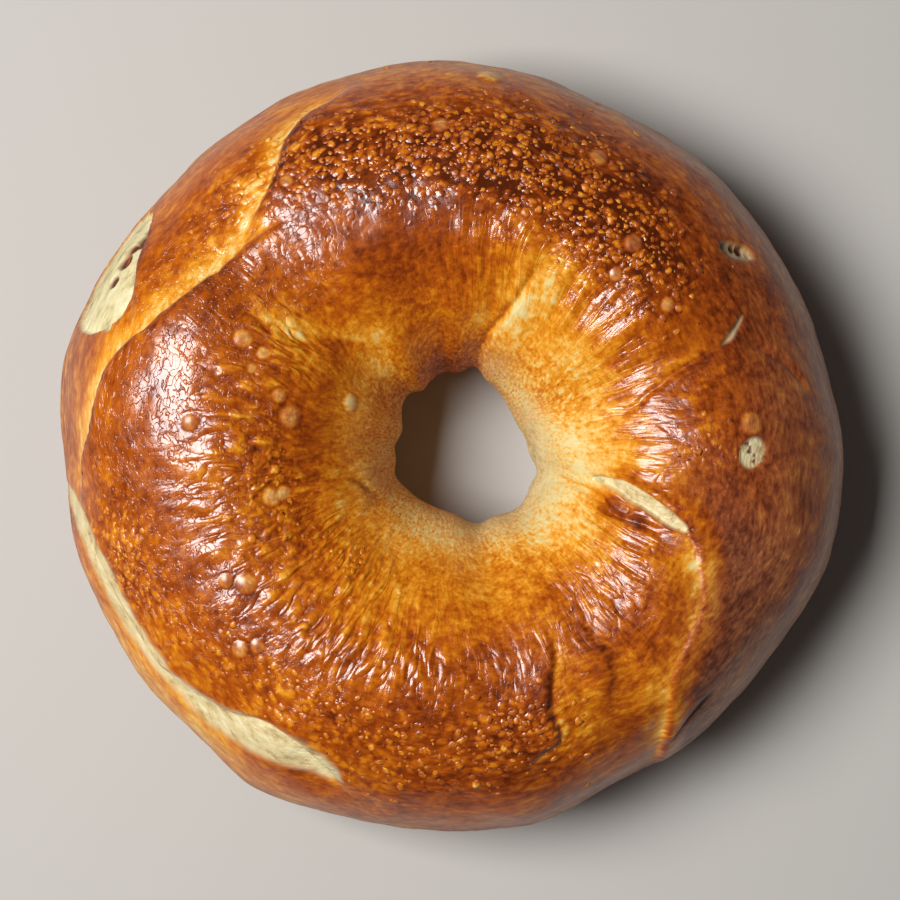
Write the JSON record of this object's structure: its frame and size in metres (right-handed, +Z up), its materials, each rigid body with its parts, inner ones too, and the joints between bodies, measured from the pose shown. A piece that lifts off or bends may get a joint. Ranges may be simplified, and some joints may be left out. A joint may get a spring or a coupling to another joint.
{
  "type": "bagel",
  "caption": "Plain round bagel: a plump ring of baked dough with a small hole, lapped folds and a torn seam on top, resting on its flat underside.",
  "frame": {"origin": "centre of the bounding box at the underside, on the surface the bagel rests on, close to the middle of the hole", "axes": "+Z up through the hole; +X to the bagel's right and +Y away from the viewer as seen from above, so that the torn seam lies to the right of the hole"},
  "size_m": [0.1096, 0.1076, 0.0387],
  "materials": {
    "crust": "glossy golden-brown baked crust, boiled before baking, paler round the hole"
  },
  "bodies": {
    "root": {"bagel": "crust"}
  },
  "joints": []
}
